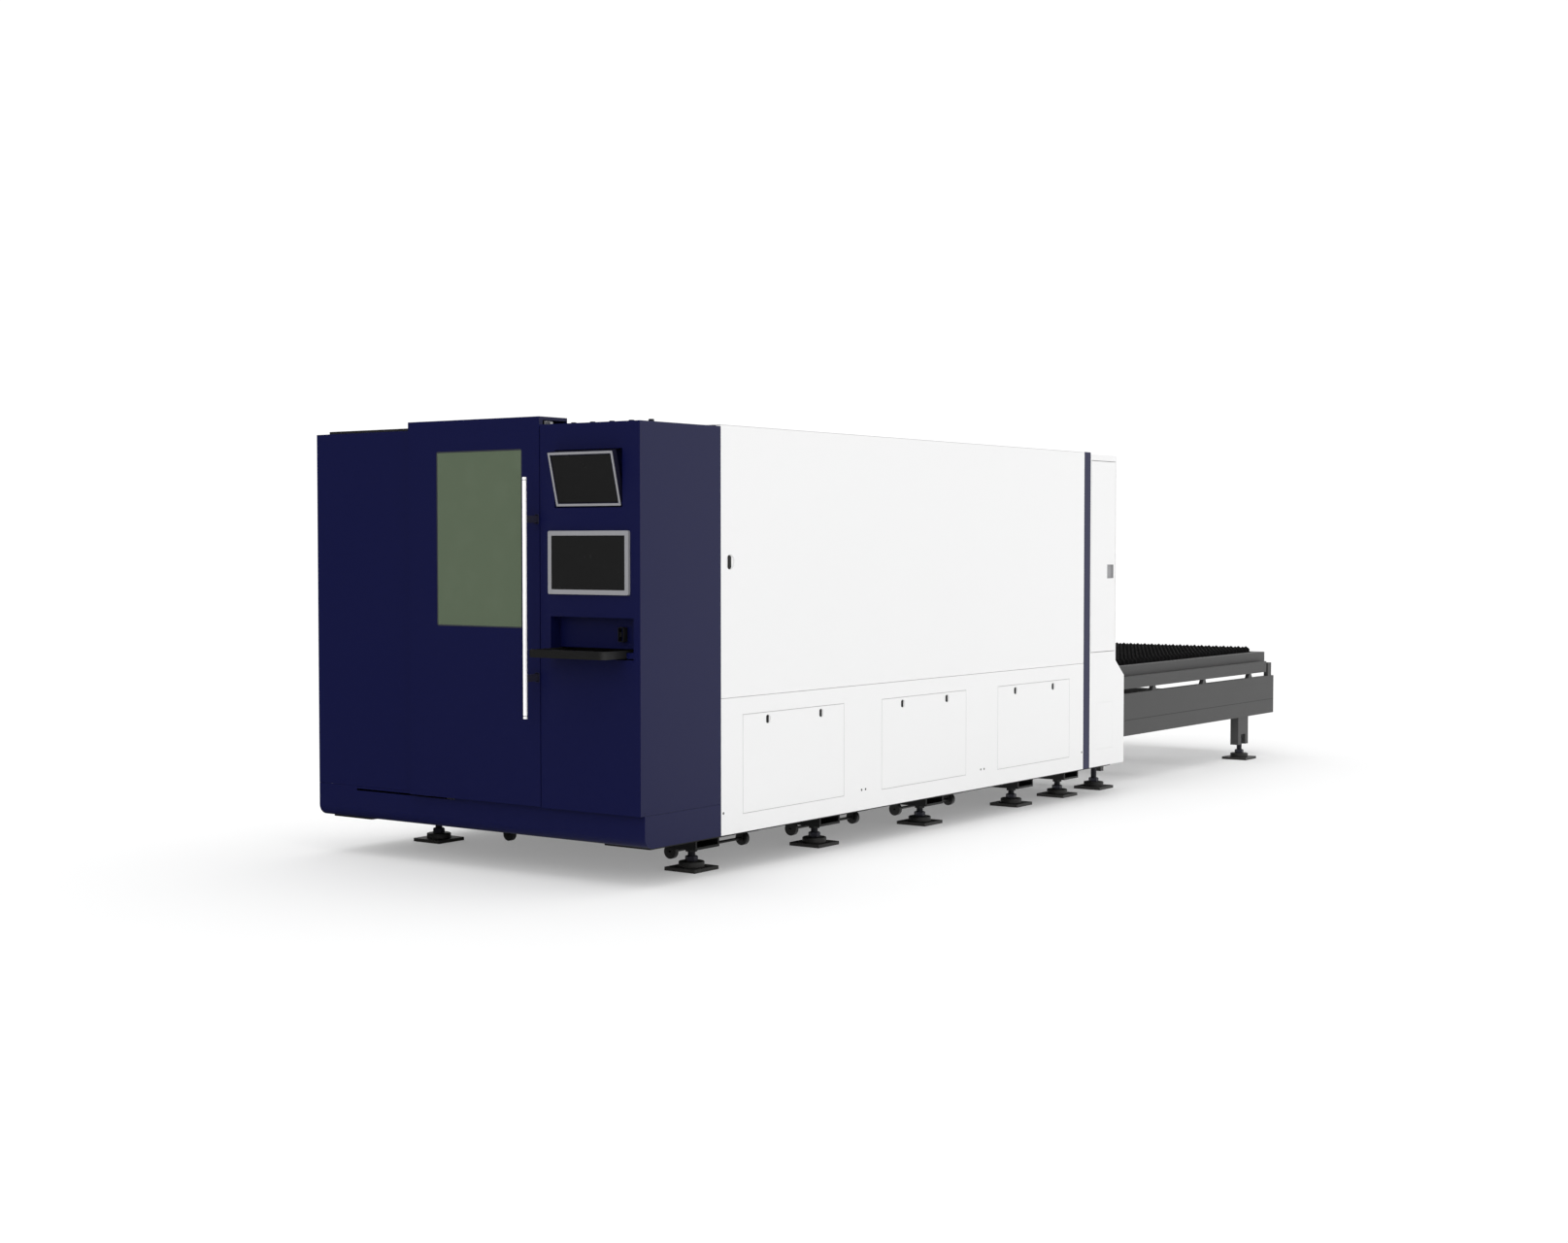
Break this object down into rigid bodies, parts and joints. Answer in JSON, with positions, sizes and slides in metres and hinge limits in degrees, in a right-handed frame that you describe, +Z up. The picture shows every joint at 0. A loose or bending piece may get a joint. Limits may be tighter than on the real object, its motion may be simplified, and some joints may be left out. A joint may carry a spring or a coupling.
{
  "type": "fiber laser cutting machine",
  "caption": "Enclosed sheet-metal laser cutter: sliding front door, operator console, gantry inside, and a shuttle table with saw-toothed pallets behind.",
  "frame": {"origin": "on the floor, at the middle of the machine's length and width", "axes": "+Y from the operator's door towards the shuttle table, +X to the operator's right, +Z up"},
  "size_m": [2.2, 8.01, 2.21],
  "materials": {
    "navy_paint": "satin dark navy powder coat",
    "white_paint": "satin white powder coat",
    "grey_paint": "matt grey paint",
    "frame_paint": "matt black paint",
    "slat_steel": "dark mill-finish sheet steel",
    "rail_steel": "ground steel",
    "bright_steel": "bright satin steel",
    "dark_metal": "satin black",
    "beam_aluminium": "anodised",
    "smoked_glass": "green-grey laser safety glass",
    "black_plastic": "matt black",
    "grey_plastic": "light grey bezel",
    "wheel_plastic": "black nylon"
  },
  "bodies": {
    "frame": {"base_frame": "frame_paint", "cabin_frame": "frame_paint", "leg_boxes": "frame_paint", "foot_plates": "frame_paint", "foot_screws": "frame_paint", "front_plinth": "navy_paint", "front_left_panel": "navy_paint", "front_roof": "navy_paint", "control_cabinet": "navy_paint", "lower_monitor": "grey_plastic", "door_track": "rail_steel", "roof_bolts": "bright_steel", "roof_panel": "white_paint", "side_panel_left": "white_paint", "side_panel_right": "white_paint", "lower_cladding_left": "white_paint", "lower_cladding_right": "white_paint", "door_pivots": "frame_paint", "rear_arch": "navy_paint", "rear_shell": "white_paint", "bed_rails": "rail_steel", "table_rails": "grey_paint", "table_frame": "grey_paint", "exchange_drive": "frame_paint", "gantry_rails": "rail_steel"},
    "front_door": {"door_panel": "navy_paint", "door_window": "smoked_glass", "door_handle": "bright_steel", "handle_brackets": "dark_metal", "door_carriages": "rail_steel"},
    "upper_monitor": {"upper_monitor": "grey_plastic"},
    "keyboard_tray": {"keyboard_tray": "black_plastic", "keyboard": "black_plastic"},
    "access_door_1": {"access_door_1": "white_paint"},
    "door_latch_1": {"door_latch_1": "black_plastic"},
    "door_latch_2": {"door_latch_2": "black_plastic"},
    "access_door_2": {"access_door_2": "white_paint"},
    "door_latch_3": {"door_latch_3": "black_plastic"},
    "door_latch_4": {"door_latch_4": "black_plastic"},
    "access_door_3": {"access_door_3": "white_paint"},
    "door_latch_5": {"door_latch_5": "black_plastic"},
    "door_latch_6": {"door_latch_6": "black_plastic"},
    "panel_latch": {"panel_latch": "black_plastic"},
    "rear_side_door": {"rear_side_door": "white_paint"},
    "upper_pallet": {"upper_pallet_frame": "grey_paint", "upper_pallet_slats": "slat_steel"},
    "lower_pallet": {"lower_pallet_frame": "grey_paint", "lower_pallet_slats": "slat_steel"},
    "gantry": {"gantry_beam": "beam_aluminium"},
    "x_carriage": {"x_carriage": "dark_metal"},
    "cutting_head": {"cutting_head": "beam_aluminium"},
    "slag_cart_1": {"slag_cart_1": "frame_paint"},
    "cart_1_inner_wheels": {"cart_1_inner_wheels": "wheel_plastic"},
    "cart_1_outer_wheels": {"cart_1_outer_wheels": "wheel_plastic"},
    "slag_cart_2": {"slag_cart_2": "frame_paint"},
    "cart_2_inner_wheels": {"cart_2_inner_wheels": "wheel_plastic"},
    "cart_2_outer_wheels": {"cart_2_outer_wheels": "wheel_plastic"},
    "slag_cart_3": {"slag_cart_3": "frame_paint"},
    "cart_3_inner_wheels": {"cart_3_inner_wheels": "wheel_plastic"},
    "cart_3_outer_wheels": {"cart_3_outer_wheels": "wheel_plastic"}
  },
  "joints": [
    {"name": "front_door_slide", "type": "slide", "parent": "frame", "child": "front_door", "axis": [-1, 0, 0], "range_m": [0, 0.64]},
    {"name": "upper_monitor_tilt", "type": "hinge", "parent": "frame", "child": "upper_monitor", "pos_m": [0.7855, -3.823, 1.796], "axis": [1, 0, 0], "range_deg": [-14.2, 0]},
    {"name": "keyboard_tray_slide", "type": "slide", "parent": "frame", "child": "keyboard_tray", "axis": [0, 1, 0], "range_m": [0, 0.155]},
    {"name": "access_door_1_hinge", "type": "hinge", "parent": "frame", "child": "access_door_1", "pos_m": [1.095, -2.6105, 0.29], "axis": [0, 1, 0], "range_deg": [0, 90]},
    {"name": "door_latch_1_turn", "type": "hinge", "parent": "access_door_1", "child": "door_latch_1", "pos_m": [1.092, -2.8425, 0.7345], "axis": [1, 0, 0], "range_deg": [0, 90]},
    {"name": "door_latch_2_turn", "type": "hinge", "parent": "access_door_1", "child": "door_latch_2", "pos_m": [1.092, -2.3785, 0.7345], "axis": [-1, 0, 0], "range_deg": [0, 90]},
    {"name": "access_door_2_hinge", "type": "hinge", "parent": "frame", "child": "access_door_2", "pos_m": [1.095, -1.3655, 0.29], "axis": [0, 1, 0], "range_deg": [0, 90]},
    {"name": "door_latch_3_turn", "type": "hinge", "parent": "access_door_2", "child": "door_latch_3", "pos_m": [1.092, -1.5975, 0.7345], "axis": [1, 0, 0], "range_deg": [0, 90]},
    {"name": "door_latch_4_turn", "type": "hinge", "parent": "access_door_2", "child": "door_latch_4", "pos_m": [1.092, -1.1335, 0.7345], "axis": [-1, 0, 0], "range_deg": [0, 90]},
    {"name": "access_door_3_hinge", "type": "hinge", "parent": "frame", "child": "access_door_3", "pos_m": [1.095, -0.1205, 0.29], "axis": [0, 1, 0], "range_deg": [0, 90]},
    {"name": "door_latch_5_turn", "type": "hinge", "parent": "access_door_3", "child": "door_latch_5", "pos_m": [1.092, -0.3525, 0.7345], "axis": [1, 0, 0], "range_deg": [0, 90]},
    {"name": "door_latch_6_turn", "type": "hinge", "parent": "access_door_3", "child": "door_latch_6", "pos_m": [1.092, 0.1115, 0.7345], "axis": [-1, 0, 0], "range_deg": [0, 90]},
    {"name": "panel_latch_turn", "type": "hinge", "parent": "frame", "child": "panel_latch", "pos_m": [1.092, -3.155, 1.5165], "axis": [-1, 0, 0], "range_deg": [0, 90]},
    {"name": "rear_side_door_hinge", "type": "hinge", "parent": "frame", "child": "rear_side_door", "pos_m": [1.095, 0.6115, 1.525], "axis": [0, 0, -1], "range_deg": [0, 100]},
    {"name": "upper_pallet_slide", "type": "slide", "parent": "frame", "child": "upper_pallet", "axis": [0, -1, 0], "range_m": [0, 3.56]},
    {"name": "lower_pallet_slide", "type": "slide", "parent": "frame", "child": "lower_pallet", "axis": [0, 1, 0], "range_m": [0, 3.56]},
    {"name": "gantry_slide", "type": "slide", "parent": "frame", "child": "gantry", "axis": [0, 1, 0], "range_m": [0, 3.2]},
    {"name": "x_carriage_slide", "type": "slide", "parent": "gantry", "child": "x_carriage", "axis": [1, 0, 0], "range_m": [-0.74, 0.74]},
    {"name": "cutting_head_slide", "type": "slide", "parent": "x_carriage", "child": "cutting_head", "axis": [0, 0, -1], "range_m": [0, 0.085]},
    {"name": "slag_cart_1_slide", "type": "slide", "parent": "frame", "child": "slag_cart_1", "axis": [1, 0, 0], "range_m": [0, 1.25]},
    {"name": "cart_1_inner_wheels_roll", "type": "hinge", "parent": "slag_cart_1", "child": "cart_1_inner_wheels", "pos_m": [-0.56, -2.6395, 0.0375], "axis": [0, 1, 0], "continuous": true},
    {"name": "cart_1_outer_wheels_roll", "type": "hinge", "parent": "slag_cart_1", "child": "cart_1_outer_wheels", "pos_m": [0.56, -2.6395, 0.0375], "axis": [0, 1, 0], "continuous": true},
    {"name": "slag_cart_2_slide", "type": "slide", "parent": "frame", "child": "slag_cart_2", "axis": [1, 0, 0], "range_m": [0, 1.25]},
    {"name": "cart_2_inner_wheels_roll", "type": "hinge", "parent": "slag_cart_2", "child": "cart_2_inner_wheels", "pos_m": [-0.56, -1.5825, 0.0375], "axis": [0, 1, 0], "continuous": true},
    {"name": "cart_2_outer_wheels_roll", "type": "hinge", "parent": "slag_cart_2", "child": "cart_2_outer_wheels", "pos_m": [0.56, -1.5825, 0.0375], "axis": [0, 1, 0], "continuous": true},
    {"name": "slag_cart_3_slide", "type": "slide", "parent": "frame", "child": "slag_cart_3", "axis": [1, 0, 0], "range_m": [0, 1.25]},
    {"name": "cart_3_inner_wheels_roll", "type": "hinge", "parent": "slag_cart_3", "child": "cart_3_inner_wheels", "pos_m": [-0.56, -0.5255, 0.0375], "axis": [0, 1, 0], "continuous": true},
    {"name": "cart_3_outer_wheels_roll", "type": "hinge", "parent": "slag_cart_3", "child": "cart_3_outer_wheels", "pos_m": [0.56, -0.5255, 0.0375], "axis": [0, 1, 0], "continuous": true}
  ],
  "couplings": [
    {"joint": "lower_pallet_slide", "follows": "upper_pallet_slide", "ratio": 1},
    {"joint": "cart_1_inner_wheels_roll", "follows": "slag_cart_1_slide", "rad_per_m": 26.667},
    {"joint": "cart_1_outer_wheels_roll", "follows": "slag_cart_1_slide", "rad_per_m": 26.667},
    {"joint": "cart_2_inner_wheels_roll", "follows": "slag_cart_2_slide", "rad_per_m": 26.667},
    {"joint": "cart_2_outer_wheels_roll", "follows": "slag_cart_2_slide", "rad_per_m": 26.667},
    {"joint": "cart_3_inner_wheels_roll", "follows": "slag_cart_3_slide", "rad_per_m": 26.667},
    {"joint": "cart_3_outer_wheels_roll", "follows": "slag_cart_3_slide", "rad_per_m": 26.667}
  ]
}
